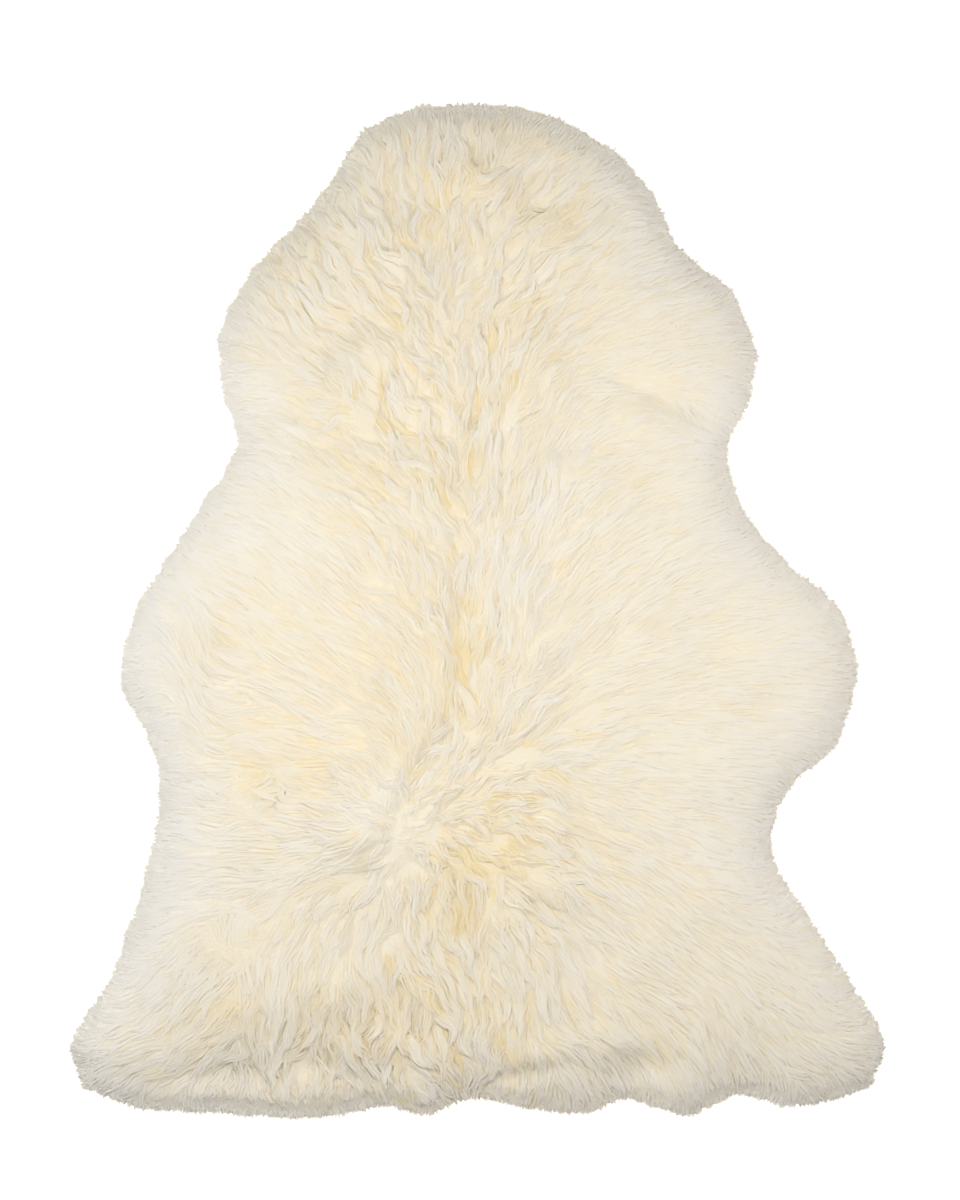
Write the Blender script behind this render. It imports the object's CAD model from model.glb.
"""Dresses a sheepskin rug: its hide, the deep fleece on it and its combed locks of wool.

Laid out as an add-on, and run as a script. Places are in metres, with the neck
towards +Y and the hide on the floor at Z = 0. Directions are seen from above.
"""

import functools
import math

import bpy
import numpy as np
from bpy.props import FloatProperty, FloatVectorProperty, IntProperty, PointerProperty
from bpy.types import Operator, Panel, PropertyGroup
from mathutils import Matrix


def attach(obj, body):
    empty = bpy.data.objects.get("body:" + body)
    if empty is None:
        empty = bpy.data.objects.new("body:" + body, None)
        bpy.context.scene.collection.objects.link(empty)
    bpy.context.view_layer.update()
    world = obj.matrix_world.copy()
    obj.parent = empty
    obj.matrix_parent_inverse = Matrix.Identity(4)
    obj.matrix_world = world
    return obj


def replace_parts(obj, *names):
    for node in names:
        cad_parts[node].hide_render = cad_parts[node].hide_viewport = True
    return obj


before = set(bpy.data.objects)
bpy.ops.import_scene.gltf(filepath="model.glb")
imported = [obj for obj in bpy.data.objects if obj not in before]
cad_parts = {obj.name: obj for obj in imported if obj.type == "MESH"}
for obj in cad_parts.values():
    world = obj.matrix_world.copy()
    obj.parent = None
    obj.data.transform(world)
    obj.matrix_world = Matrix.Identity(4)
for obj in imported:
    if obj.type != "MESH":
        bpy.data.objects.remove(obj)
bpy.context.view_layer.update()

bl_info = {
    "name": "Sheepskin Rug",
    "version": (1, 0, 0),
    "blender": (4, 5, 0),
    "location": "3D View > Sidebar > Sheepskin",
    "description": "Lays a whole sheepskin rug: hide, deep fleece and combed locks of wool",
    "category": "Add Mesh",
}

# ---- The pelt's plan: sideways from the middle line, and along from the tail's end ----

NECK_EDGE = (
    (-0.248, 0.741), (-0.227, 0.789), (-0.155, 0.874), (-0.136, 0.899), (-0.110, 0.939),
    (-0.071, 0.960), (-0.025, 0.966), (0.045, 0.962), (0.099, 0.943), (0.148, 0.905),
    (0.171, 0.874), (0.190, 0.836), (0.249, 0.779), (0.268, 0.727),
)
LEFT_FLANK = (
    (-0.375, 0.027), (-0.387, 0.067), (-0.351, 0.133), (-0.318, 0.228), (-0.304, 0.309),
    (-0.315, 0.366), (-0.340, 0.418), (-0.328, 0.475), (-0.273, 0.570), (-0.230, 0.646),
    (-0.245, 0.703), (-0.248, 0.741),
)
RIGHT_FLANK = (
    (0.378, 0.030), (0.388, 0.067), (0.356, 0.133), (0.312, 0.200), (0.282, 0.257),
    (0.294, 0.304), (0.342, 0.356), (0.363, 0.423), (0.346, 0.485), (0.293, 0.532),
    (0.250, 0.589), (0.240, 0.632), (0.261, 0.684), (0.268, 0.727),
)
TAIL_EDGE = (
    (-0.375, 0.027), (-0.329, 0.010), (-0.244, 0.003), (-0.133, 0.000), (-0.088, 0.009),
    (-0.050, 0.001), (-0.007, 0.016), (0.037, 0.009), (0.107, 0.004), (0.136, 0.017),
    (0.201, 0.001), (0.247, 0.019), (0.307, 0.010), (0.354, 0.020), (0.378, 0.030),
)
MIDDLE = 0.483        # along, at the middle of the pelt, which lies over the origin

# Heights of the combed wool over the floor, and insets from the wool's reach
PILE = 0.049
RIM_TOP = 0.020
RIM_TIP = 0.004       # height of the wool's outermost tips
ROLL = 0.075          # inset at which the rim's roll has risen to the full pile
WALL_INSET = 0.013
HIDE_INSET = 0.020

# Patches are bells over the plan that fade out from a middle point. Their rows hold
# its place (sideways, along), the bell's half length and half width, the turn of its
# long side from +X in degrees, and the amount that the table's first line names.
FORMS = (
    # rise of the wool's top
    (-0.003, 0.640, 0.035, 0.011, 70, -0.011),   # spine parting at the creases
    (-0.012, 0.560, 0.060, 0.013, 98, -0.006),   # spine parting, upper part
    (-0.016, 0.450, 0.055, 0.010, 88, -0.010),   # spine parting, middle
    (-0.050, 0.330, 0.090, 0.014, 62, -0.008),   # spine parting, lower part
    (-0.110, 0.645, 0.085, 0.013, 4, -0.005),    # crease across the left shoulder
    (0.075, 0.642, 0.060, 0.013, -3, -0.005),    # crease across the right shoulder
    (0.190, 0.675, 0.080, 0.014, -28, -0.009),   # fold under the right shoulder
    (-0.130, 0.745, 0.060, 0.016, 45, -0.007),   # fold inside the left shoulder
    (0.050, 0.600, 0.075, 0.040, 10, 0.006),     # full tuft below the crease
    (-0.096, 0.271, 0.040, 0.030, 0, 0.006),     # whorl in the lower middle
    (-0.118, 0.132, 0.042, 0.028, 20, 0.008),    # whorl over the tail
    (-0.215, 0.105, 0.042, 0.024, 60, 0.007),    # tuft to the left of it
    (-0.163, 0.092, 0.036, 0.010, 80, -0.008),   # between those two
    (-0.070, 0.105, 0.036, 0.011, 110, -0.007),  # right of the whorl
    (0.080, 0.060, 0.075, 0.022, 12, 0.007),     # roll that hangs over the tail
    (0.148, 0.045, 0.015, 0.028, 110, -0.024),   # notch beside that roll
    (0.028, 0.040, 0.055, 0.009, 12, -0.015),    # under the tuft that hangs over the roll
    (-0.240, 0.042, 0.075, 0.014, 4, -0.010),    # hollow over the left tail edge
    (-0.110, 0.046, 0.050, 0.012, -4, -0.008),
)
LUMP_SIZE = 0.055
LUMP_RISE = 0.0040
TUFT_SIZE = 0.028
TUFT_RISE = 0.0044

WARMTH = (
    # how much yellower the wool is
    (-0.022, 0.450, 0.100, 0.018, 92, 0.17),    # down the spine parting
    (0.030, 0.250, 0.060, 0.032, 100, 0.27),    # beside the lower parting
    (-0.020, 0.215, 0.050, 0.030, 100, 0.24),
    (-0.010, 0.640, 0.055, 0.016, 75, 0.12),    # where crease and parting meet
    (-0.080, 0.105, 0.040, 0.022, 20, 0.22),    # between the tail's tufts
    (-0.200, 0.330, 0.032, 0.028, 0, 0.18),
    (-0.250, 0.160, 0.035, 0.030, 0, 0.18),
    (-0.163, 0.100, 0.032, 0.014, 80, 0.24),
    (-0.245, 0.110, 0.030, 0.020, 60, 0.14),
    (-0.110, 0.440, 0.090, 0.060, 100, 0.12),   # left of the spine
    (0.200, 0.672, 0.040, 0.014, -28, 0.10),    # in the fold under the shoulder
    (0.060, 0.110, 0.050, 0.030, 0, 0.10),
    (0.050, 0.540, 0.070, 0.050, 80, -0.08),    # pale tuft below the crease
    (-0.095, 0.300, 0.060, 0.035, 60, -0.12),   # pale whorl
    (-0.330, 0.260, 0.160, 0.070, 95, -0.22),   # pale left flank
    (-0.340, 0.440, 0.080, 0.050, 90, -0.14),
    (-0.0045, 0.625, 0.018, 0.0035, 75, 0.60),  # slots in the spine parting
    (-0.0015, 0.664, 0.022, 0.0030, 80, 0.35),
    (-0.016, 0.454, 0.036, 0.0040, 88, 0.45),
    (-0.018, 0.560, 0.030, 0.0035, 98, 0.30),
    (0.020, 0.935, 0.150, 0.050, 0, 0.22),      # neck's edge
    (-0.170, 0.840, 0.110, 0.040, 48, 0.18),    # left side of the neck
    (0.000, 0.030, 0.330, 0.045, 0, 0.18),      # tail's edge
)
RUFFLES = (
    # how much more ruffled it is
    (-0.020, 0.600, 0.330, 0.090, 92, 0.60),  # along the spine
    (-0.020, 0.230, 0.120, 0.115, 0, 0.58),   # lower middle
    (-0.110, 0.075, 0.165, 0.062, 0, 0.80),   # over the tail edge
    (-0.240, 0.400, 0.120, 0.065, 95, 0.33),  # left flank
    (-0.130, 0.640, 0.120, 0.045, 4, 0.30),   # crease
    (-0.020, 0.830, 0.150, 0.110, 0, 0.40),   # neck
    (0.230, 0.080, 0.110, 0.070, 0, 0.22),    # right end of the tail
    (-0.250, 0.080, 0.090, 0.050, 0, 0.12),   # left end of the tail
    (-0.170, 0.775, 0.090, 0.055, 48, 0.42),  # left shoulder
)

RIM_CLUMPS = (
    # how far past the reach clumps stand
    (-0.196, 0.815, 0.010, 0.010, 0, 0.0035),   # on the left shoulder
    (-0.236, 0.766, 0.010, 0.009, 0, 0.0035),
    (-0.247, 0.735, 0.008, 0.008, 0, 0.0025),
    (-0.110, 0.937, 0.009, 0.009, 0, 0.0030),   # at the neck's left corner
    (-0.176, 0.842, 0.008, 0.008, 0, -0.0025),
)
SHORT_LOCKS = (
    # how far in from the reach locks end
    (-0.190, 0.012, 0.115, 0.030, 2, 0.019),  # over the left tail edge
    (0.245, 0.016, 0.060, 0.024, 2, 0.012),   # over the right one
)

# How the wool is combed: the way its tips point, in degrees from +X towards +Y
COMB_SIDEWAYS = (-0.36, -0.28, -0.20, -0.12, -0.04, 0.04, 0.12, 0.20, 0.28, 0.36)
COMB = (
    # along, then the tips' direction at each place sideways
    (0.95, (150, 140, 125, 110, 93, 65, 35, 20, 10, 0)),
    (0.87, (160, 150, 130, 113, 88, 66, 40, 20, 10, 5)),
    (0.79, (165, 155, 140, 128, 100, 62, 40, 22, 10, 5)),
    (0.71, (180, 172, 158, 140, 108, 58, 33, 8, -10, -10)),
    (0.63, (180, 170, 160, 152, 125, 80, 25, 5, 0, 0)),
    (0.55, (175, 162, 147, 138, 116, 78, 40, 20, 12, 5)),
    (0.47, (185, 168, 147, 145, 112, 66, 38, 22, 10, 2)),
    (0.39, (185, 175, 172, 162, 98, 48, 15, 4, -6, -10)),
    (0.31, (190, 182, 182, 150, 45, -15, -18, -12, -12, -15)),
    (0.23, (195, 190, 183, 215, 302, -46, -30, -20, -15, -15)),
    (0.15, (205, 218, 255, 262, 288, -60, -45, -42, -32, -25)),
    (0.07, (198, 232, 262, 268, 285, -82, -45, -50, -38, -22)),
    (-0.01, (220, 245, 268, 270, 280, -85, -70, -60, -50, -40)),
)
STROKES = (
    # the tips' direction, over the chart's
    (0.152, 0.868, 0.030, 0.012, -25, -25),  # small fold at the neck
    (0.190, 0.674, 0.050, 0.016, -25, -25),  # fold under the right shoulder
    (0.041, 0.592, 0.045, 0.032, 0, 84),     # flames of the tuft below the crease
    (-0.266, 0.425, 0.065, 0.018, 90, 115),  # tufts that hang on the left flank
    (-0.206, 0.315, 0.022, 0.018, 0, 25),    # curl on the left flank
    (-0.230, 0.178, 0.022, 0.018, 0, 80),    # curl over the tail
    (-0.205, 0.085, 0.040, 0.016, 80, 285),  # locks that hang over the tail edge
    (-0.140, 0.075, 0.035, 0.014, 80, 255),
    (-0.268, 0.085, 0.040, 0.020, 80, 238),
    (0.098, 0.075, 0.045, 0.014, 0, -30),    # over the tail's roll
)

CELL = 0.0025                  # spacing of the maps that the wool is laid from
MARGIN = 0.040                 # how far those maps go past the wool's reach
REACH_STEPS = 240, 280         # steps of the reach that distances are measured to
EDGE_FINENESS = 20             # steps of an edge's cubic for each point kept
NOISE_LATTICE = 256            # random numbers along each side of a noise's lattice
LEAST_RUFFLE = 0.07
USUAL_WARMTH = 0.36
PALE_RIM, RIM_PALER = 0.085, 0.40      # how far in the rim is pale, and how much paler
COMBED_RIM, COMBED_SHARE = 0.045, 0.8  # how far in it is combed straight out, and how much
PARTING_SIZE = 0.022           # wool is fully parted where the comb turns out within this
HEIGHT_SEEDS, COMB_SEEDS, WARMTH_SEEDS = (11, 12), (21, 22), (31, 32)
WAVE_SEED, SWAY_SEED = 41, 51

# What ruffling does: a value where the wool lies smooth, and what full ruffling adds
COMB_TURN = 0.10, 0.48         # how far the comb strays, in radians
SWING = 0.05, 0.62             # how far a lock swings to and fro, in radians
LOCK_YELLOWS = 0.02, 0.12      # how much locks differ in yellowness
STRAND_YELLOWS = 0.028, 0.030  # how much the strands of a lock do
DEPTH = 0.0030, 0.0060         # how deep in the fleece a lock comes up
RISE = 4.5, -1.8               # power of what is left of its length, by which it comes up
STRAY = 0.3, 1.4               # how far strands leave it, in shares of STRAND_STRAY
RIDGE = 0.0003, 0.0020         # how much lower its sides lie than its middle
LEAN = 0.06, 0.50              # how far the shading leans at its sides
STRAND_ROUND, CORE_ROUND = (0.20, 0.30), (0.15, 0.45)
COVER = 0.0018, 0.0042         # how deep under the wool's top the bed of fleece lies


def held(value):
    """A value, held from 0 to 1."""
    return np.clip(value, 0.0, 1.0)


def ruffled(pair, ruffle):
    """What ruffling makes of a pair: its first number, plus its second times the ruffle."""
    return pair[0] + pair[1] * ruffle


def unit_vectors(vectors):
    """Each vector of an array, divided by its own length."""
    return vectors / np.maximum(np.linalg.norm(vectors, axis=-1, keepdims=True), 1e-9)


def turned(x, y, angle):
    """Directions in the plan, turned to the left by an angle."""
    cos, sin = np.cos(angle), np.sin(angle)
    return x * cos - y * sin, x * sin + y * cos


def between(table, row, column, down, across):
    """A table's value between four of its cells, in proportion to how near each is."""
    low = table[row, column] * (1 - across) + table[row, column + 1] * across
    high = table[row + 1, column] * (1 - across) + table[row + 1, column + 1] * across
    return low * (1 - down) + high * down


def value_noise(x, y, size, seed):
    """Random numbers from -1 to 1 on a square lattice, eased between its points."""
    table = np.random.default_rng(seed).uniform(-1.0, 1.0, (NOISE_LATTICE, NOISE_LATTICE))
    gx, gy = x / size + NOISE_LATTICE / 4, y / size + NOISE_LATTICE / 4
    ix, iy = np.floor(gx).astype(int), np.floor(gy).astype(int)
    fx, fy = gx - ix, gy - iy
    fx, fy = fx * fx * (3 - 2 * fx), fy * fy * (3 - 2 * fy)
    return between(table, iy % (NOISE_LATTICE - 1), ix % (NOISE_LATTICE - 1), fy, fx)


def bells(table, x, along):
    """Each patch of a table as a bell: exp of minus its squared distances in half sizes."""
    for sideways, station, half_length, half_width, turn, amount in table:
        angle = math.radians(turn)
        dx, dy = x - sideways, along - station
        lengthwise = (dx * math.cos(angle) + dy * math.sin(angle)) / half_length
        crosswise = (-dx * math.sin(angle) + dy * math.cos(angle)) / half_width
        yield np.exp(-lengthwise**2 - crosswise**2), amount


def patches(table, x, along):
    """The sum of a table's bells, each times its amount."""
    return sum(bell * amount for bell, amount in bells(table, x, along))


def edge_curve(table, count):
    """count + 1 even points on a cubic through the rows, its slopes from the rows beside."""
    rows = np.array(table)
    gaps = np.linalg.norm(np.diff(rows, axis=0), axis=1)
    stations = np.concatenate(([0.0], np.cumsum(gaps)))
    slopes = np.gradient(rows, stations, axis=0)
    fine = np.linspace(0.0, stations[-1], count * EDGE_FINENESS + 1)
    piece = np.clip(np.searchsorted(stations, fine, side="right") - 1, 0, len(gaps) - 1)
    span = gaps[piece][:, None]
    s = ((fine - stations[piece]) / gaps[piece])[:, None]
    points = (
        rows[piece] * (2 * s**3 - 3 * s**2 + 1)
        + slopes[piece] * span * (s**3 - 2 * s**2 + s)
        + rows[piece + 1] * (3 * s**2 - 2 * s**3)
        + slopes[piece + 1] * span * (s**3 - s**2)
    )
    steps = np.linalg.norm(np.diff(points, axis=0), axis=1)
    travelled = np.concatenate(([0.0], np.cumsum(steps)))
    even = np.linspace(0.0, travelled[-1], count + 1)
    return np.stack([np.interp(even, travelled, points[:, axis]) for axis in (0, 1)], axis=1)


def rim_loop(across, lengthwise):
    """The wool's reach as a counter-clockwise loop, the pelt's middle over the origin."""
    tail = edge_curve(TAIL_EDGE, across)
    right = edge_curve(RIGHT_FLANK, lengthwise)
    neck = edge_curve(NECK_EDGE, across)[::-1]
    left = edge_curve(LEFT_FLANK, lengthwise)[::-1]
    loop = np.concatenate([tail[:-1], right[:-1], neck[:-1], left[:-1]])
    return loop - np.array([0.0, MIDDLE])


def outward_directions(loop):
    """The unit direction out of a counter-clockwise loop at each of its points."""
    tangent = np.roll(loop, -1, axis=0) - np.roll(loop, 1, axis=0)
    return unit_vectors(np.stack([tangent[:, 1], -tangent[:, 0]], axis=1))


def spread_grid(edge, across, lengthwise):
    """Rows straight from flank to flank, bent near the tail and the neck as those are."""
    tail = edge[:across + 1]
    right = edge[across:across + lengthwise + 1]
    neck = edge[across + lengthwise:2 * across + lengthwise + 1][::-1]
    left = np.concatenate([edge[2 * across + lengthwise:], edge[:1]])[::-1]
    u = np.linspace(0.0, 1.0, across + 1)[None, :, None]
    v = np.linspace(0.0, 1.0, lengthwise + 1)[:, None, None]
    tail_bend = tail[None] - (tail[0] * (1 - u) + tail[-1] * u)
    neck_bend = neck[None] - (neck[0] * (1 - u) + neck[-1] * u)
    rows = left[:, None] * (1 - u) + right[:, None] * u
    return rows + tail_bend * (1 - v) ** 4 + neck_bend * v**4


def blurred(field, cells):
    """The field after two passes of a box average that reaches that many cells each way."""
    width = 2 * cells + 1
    for _ in range(2):
        for axis in (0, 1):
            pad = [(cells + 1, cells) if side == axis else (0, 0) for side in (0, 1)]
            total = np.cumsum(np.pad(field, pad, mode="edge"), axis=axis)
            low = np.take(total, range(total.shape[axis] - width), axis=axis)
            high = np.take(total, range(width, total.shape[axis]), axis=axis)
            field = (high - low) / width
    return field


class PeltMaps:
    """Numbers over the plan, on a square lattice: how far in from the wool's reach
    each place is, how high the wool stands there, which way it is combed, and how
    ruffled and how yellow it is."""

    def __init__(self):
        reach = rim_loop(*REACH_STEPS)
        low, high = reach.min(axis=0) - MARGIN, reach.max(axis=0) + MARGIN
        self.low = low
        self.xs = np.arange(low[0], high[0], CELL)
        self.ys = np.arange(low[1], high[1], CELL)
        x, y = np.meshgrid(self.xs, self.ys)
        along = y + MIDDLE
        self.inward = self.rim_distance(x, y, reach, outward_directions(reach))
        self.ruffle = LEAST_RUFFLE + patches(RUFFLES, x, along)
        self.height = self.wool_height(x, along)
        self.soft_x, self.soft_y = self.soft_slopes()
        self.comb_x, self.comb_y = self.combed(x, along)
        self.parted = self.partings()
        self.warmth = self.warm(x, along)
        self.short = patches(SHORT_LOCKS, x, along)

    def rim_distance(self, x, y, reach, outward):
        """The distance to the nearest point of the reach, less than zero outside it."""
        inward = np.empty(x.shape)
        for row in range(len(y)):
            gap = np.hypot(x[row][:, None] - reach[:, 0], y[row][:, None] - reach[:, 1])
            near = gap.argmin(axis=1)
            out = ((x[row] - reach[near, 0]) * outward[near, 0]
                   + (y[row] - reach[near, 1]) * outward[near, 1])
            inward[row] = np.where(out > 0, -1.0, 1.0) * gap[np.arange(len(near)), near]
        return inward

    def wool_height(self, x, along):
        """A rounded roll in from the rim wall, with its ridges, furrows, lumps and tufts."""
        lump_seed, tuft_seed = HEIGHT_SEEDS
        lumps = LUMP_RISE * value_noise(x, along, LUMP_SIZE, lump_seed)
        tufts = TUFT_RISE * value_noise(x, along, TUFT_SIZE, tuft_seed)
        forms = patches(FORMS, x, along) + lumps + tufts * np.minimum(self.ruffle, 1.0)
        share = held((self.inward - WALL_INSET) / (ROLL - WALL_INSET))
        dome = np.sqrt(1.0 - (1.0 - share) ** 2)
        skirt = held(self.inward / WALL_INSET) ** 0.7
        base = RIM_TIP + (RIM_TOP - RIM_TIP) * skirt
        return base + dome * (PILE - RIM_TOP + forms)

    def soft_slopes(self):
        """The wool's slopes as its soft surface shows them, nearly flat at the rim."""
        slope_y, slope_x = np.gradient(blurred(self.height, 1), CELL)
        share = 0.12 + 0.78 * held((self.inward - 0.010) / 0.080)
        return slope_x * share, slope_y * share

    def outward(self):
        """The unit direction towards the rim, in which the distance from it falls fastest."""
        slope_y, slope_x = np.gradient(-blurred(self.inward, 3), CELL)
        size = np.maximum(np.hypot(slope_x, slope_y), 1e-6)
        return slope_x / size, slope_y / size

    def combed(self, x, along):
        """The comb chart as directions, eased between its readings. They are shorter
        where neighbouring readings disagree, because the wool stands up there."""
        stations = np.array([row[0] for row in COMB])[::-1]
        angles = np.radians(np.array([row[1] for row in COMB], dtype=float))[::-1]
        fx = np.interp(x, COMB_SIDEWAYS, np.arange(len(COMB_SIDEWAYS)))
        fy = np.interp(along, stations, np.arange(len(stations)))
        ix = np.clip(fx.astype(int), 0, len(COMB_SIDEWAYS) - 2)
        iy = np.clip(fy.astype(int), 0, len(stations) - 2)
        cx, cy = (blurred(between(chart, iy, ix, fy - iy, fx - ix), 5)
                  for chart in (np.cos(angles), np.sin(angles)))
        for bell, direction in bells(STROKES, x, along):
            share = np.minimum(bell * 1.4, 1.0)
            cx = cx * (1 - share) + math.cos(math.radians(direction)) * share
            cy = cy * (1 - share) + math.sin(math.radians(direction)) * share
        out_x, out_y = self.outward()
        rim = held(1.0 - self.inward / COMBED_RIM) * COMBED_SHARE
        cx, cy = cx * (1 - rim) + out_x * rim, cy * (1 - rim) + out_y * rim
        broad, fine = (value_noise(x, along, size, seed)
                       for size, seed in zip((0.046, 0.021), COMB_SEEDS))
        return turned(cx, cy, ruffled(COMB_TURN, self.ruffle) * (broad + 0.8 * fine))

    def partings(self):
        """How far the wool is combed apart at each place, from the comb's divergence."""
        apart = np.gradient(self.comb_x, CELL, axis=1) + np.gradient(self.comb_y, CELL, axis=0)
        return held(PARTING_SIZE * blurred(apart, 2))

    def warm(self, x, along):
        """Yellow patches over cream wool that pales to grey-white towards the rim."""
        warmth = USUAL_WARMTH + patches(WARMTH, x, along)
        for amount, size, seed in zip((0.07, 0.05), (0.030, 0.090), WARMTH_SEEDS):
            warmth = warmth + amount * value_noise(x, along, size, seed)
        return warmth - RIM_PALER * held(1.0 - self.inward / PALE_RIM) ** 1.5

    def read(self, field, x, y):
        """A map's value at any place, in proportion to the four cells around it."""
        gx = np.clip((x - self.low[0]) / CELL, 0, field.shape[1] - 1.001)
        gy = np.clip((y - self.low[1]) / CELL, 0, field.shape[0] - 1.001)
        ix, iy = gx.astype(int), gy.astype(int)
        return between(field, iy, ix, gy - iy, gx - ix)


@functools.lru_cache(maxsize=1)
def pelt_maps():
    """The maps, worked out once for all the pieces."""
    return PeltMaps()


# ---- Locks of wool ----

WOOL_MAP = "OFBake"            # the strands' map of wool colours
WOOL_BANDS = ("wool_tail", "wool_rump", "wool_loin", "wool_back", "wool_shoulder",
              "wool_neck")
PATH_STEPS = 8                 # steps of a lock's middle line
LEAST_LYING = 0.35             # share of their length that locks cover where they stand up
THIN_SPACING = 0.75            # spacing of the locks added where the wool is thin
THIN_SHARE = 0.52              # share of the usual cover under which it is thin
ROOT_SHIFT = 0.38              # how far a root strays from its place, in spacings
WAVY_RUFFLE = 0.30             # ruffle past which a lock's strands are wavy
CORE_REACH = 0.94              # share of its lock's length at which a core ends
CORE_WIDTH = 1.9               # its width, in half widths of its lock
FLEECE_SHARE = 0.70            # how much its shading follows its lock and the fleece
WARMER_BELOW = 85.0            # how much yellower wool is for each metre under the top
LOWEST = 0.0014                # no strand's line lies nearer the floor
STRAND_STRAY, STRAND_BOW, STRAND_FLY = 0.0011, 0.0010, 0.00030   # in the plan, and upwards
LOCK_LIFT = 0.0018             # how much the locks differ in height
YELLOWER_LOCKS = 2.2           # how much more they differ in yellowness on yellow patches
PARTED_CROSSING = 0.4          # how far locks cross each other at a parting, in radians
GATHERED = 1.15, 0.88          # how much ruffling narrows a lock's tip, and the most

# How locks and their strands differ: the least and the most of each
LENGTHS, WIDTHS = (0.82, 1.16), (0.75, 1.30)     # in shares of the settings
SWINGS, WAVES = (0.4, 1.3), (1.2, 2.1)           # shares of SWING, and waves on a lock
TRIMMED = 0.0005, 0.0055       # how far in from the wool's reach locks end
SHORTENED = 0.3, 1.15          # shares of the inset that short locks have
STARTS, ENDS = (-0.05, 0.25), (0.76, 1.04)       # of strands, in shares of their lock


class Strands:
    """Corners, faces, shading and map places of many strands of one kind."""

    def __init__(self, kind, place, width, warmth, lean, roundness):
        """place holds a middle line for each strand: strands, stations, then x, y and z.
        width is given at each station. Once for each strand, warmth is how yellow it
        is, lean how far its shading leans to its left, and roundness how far out at
        its sides.

        Each ring is a flat triangle across the strand: two corners at its sides
        and one on its crown. Quads join the rings, a triangle closes the root,
        and three triangles meet in the tip.
        """
        count, stations, _ = place.shape
        rings = stations - 1
        tangent = unit_vectors(np.gradient(place, axis=1))
        side = unit_vectors(np.cross(tangent, np.array([0.0, 0.0, 1.0])))
        crown = np.cross(side, tangent)
        half = width[:, :rings, None] / 2
        middle, beside = place[:, :rings], side[:, :rings] * half
        top = middle + crown[:, :rings] * half * 2 * kind.crown
        ring = np.stack([middle - beside, middle + beside, top], axis=2)
        ring = ring.reshape(count, rings * 3, 3)
        self.points = np.concatenate([ring, place[:, -1:]], axis=1)
        self.count, self.each = count, rings * 3 + 1
        self.lay_faces(rings)
        self.shade(side, crown, lean, roundness, rings)
        self.spread_map(kind, held(warmth), rings, stations)

    def lay_faces(self, rings):
        """One strand's faces, by the numbers of its own corners."""
        tip, last = rings * 3, rings * 3 - 3
        turns = ((0, 1), (1, 2), (2, 0))
        quads = [(3 * k + b, 3 * k + a, 3 * k + 3 + a, 3 * k + 3 + b)
                 for k in range(rings - 1) for a, b in turns]
        tris = [(0, 1, 2)] + [(last + b, last + a, tip) for a, b in turns]
        below = [index % 3 == 0 for index in range(len(quads))] + [False, True, False, False]
        self.local = np.concatenate([np.array(quads).ravel(), np.array(tris).ravel()])
        self.sizes = np.array([4] * len(quads) + [3] * len(tris))
        self.below = np.repeat(np.array(below), self.sizes)
        self.kind = np.array([0, 1, 2] * rings + [3])       # left, right, crown, tip
        self.at_root = np.arange(self.each) < 3

    def shade(self, side, crown, lean, roundness, rings):
        """Upper faces are shaded between round strands and the round lock that they
        lie in, which itself leans with the fleece."""
        m = pelt_maps()
        x, y = self.points[..., 0], self.points[..., 1]
        right, up = (
            np.concatenate([np.repeat(ways[:, :rings], 3, axis=1), ways[:, -1:]], axis=1)
            for ways in (side, crown))
        slope = np.stack([m.read(m.soft_x, x, y), m.read(m.soft_y, x, y)], axis=2)
        fleece = np.concatenate([-slope, np.ones((*x.shape, 1))], axis=2)
        fleece = unit_vectors(fleece - right * lean[:, None, None])
        across = np.append(np.tile(np.array([-1.0, 1.0, 0.0]), rings), 0.0)
        own = unit_vectors(up + right * across[:, None] * roundness[:, None, None])
        upper = unit_vectors(own * (1 - FLEECE_SHARE) + fleece * FLEECE_SHARE)
        self.normals = np.where(self.below[None, :, None], -up[:, self.local],
                                upper[:, self.local])

    def spread_map(self, kind, warmth, rings, stations):
        """On the map of wool colours a strand stands upright, its root at the bottom,
        its sides lower than its crown, as far to the right as it is yellow."""
        across = np.append(np.tile(np.array([0.0, 1.0, 0.5]), rings), 0.5)
        u = warmth[:, None] * (1 - kind.spread) + across * kind.spread
        v = np.repeat(np.linspace(0.0, 1.0, stations)[:-1], 3) * (1 - kind.drop)
        v = np.append(v + np.tile(np.array([0.0, 0.0, kind.drop]), rings), 1.0)
        self.map = np.stack([u, np.broadcast_to(v, u.shape)], axis=2)[:, self.local]


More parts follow.
